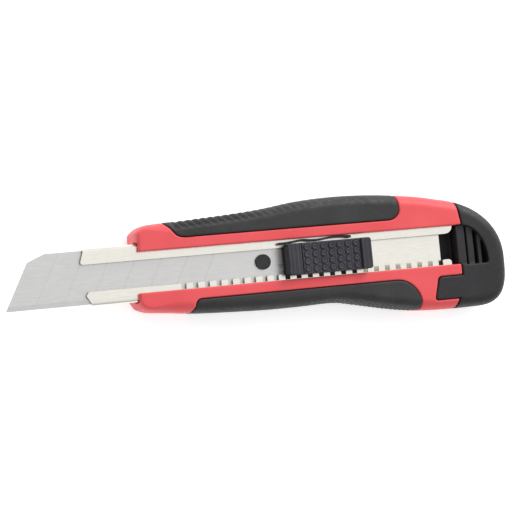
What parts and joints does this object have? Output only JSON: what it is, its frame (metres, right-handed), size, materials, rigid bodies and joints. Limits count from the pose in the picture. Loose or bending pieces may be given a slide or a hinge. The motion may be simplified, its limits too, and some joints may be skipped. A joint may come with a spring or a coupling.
{
  "type": "snap-off utility knife",
  "caption": "Snap-off utility knife with a scored blade in a notched steel channel, a spring-locked slider, soft grips and a pull-off end cap.",
  "frame": {"origin": "on the flat back that the knife rests on, half way along the handle and level with the middle of the blade channel", "axes": "+Z out of the back and up through the slider, +X from the blade to the end cap, +Y from the blade's cutting edge to its spine"},
  "size_m": [0.1795, 0.0429, 0.0198],
  "materials": {
    "red_plastic": "satin moulded ABS",
    "grip_rubber": "matt soft grip",
    "channel_steel": "polished stainless steel",
    "black_plastic": "satin moulded plastic",
    "blade_steel": "ground satin steel",
    "spring_steel": "dark oiled spring steel"
  },
  "bodies": {
    "handle": {"handle_body": "red_plastic", "upper_grip": "grip_rubber", "lower_grip": "grip_rubber", "blade_channel": "channel_steel"},
    "cap": {"end_cap": "black_plastic"},
    "slider": {"slider_carrier": "black_plastic", "blade": "blade_steel", "lock_spring": "spring_steel"},
    "lock": {"thumb_pad": "black_plastic", "lock_pawl": "spring_steel", "pad_washers": "spring_steel"}
  },
  "joints": [
    {"name": "slider_slide", "type": "slide", "parent": "handle", "child": "slider", "axis": [-1, 0, 0], "range_m": [-0.0287, 0.0451]},
    {"name": "lock_shift", "type": "slide", "parent": "slider", "child": "lock", "axis": [0, 1, 0], "range_m": [0, 0.00145], "stiffness_N_per_m": 500, "springref_m": -0.004, "deforming": ["lock_spring"]},
    {"name": "cap_pull", "type": "slide", "parent": "handle", "child": "cap", "axis": [1, 0, 0], "range_m": [0, 0.03]}
  ]
}
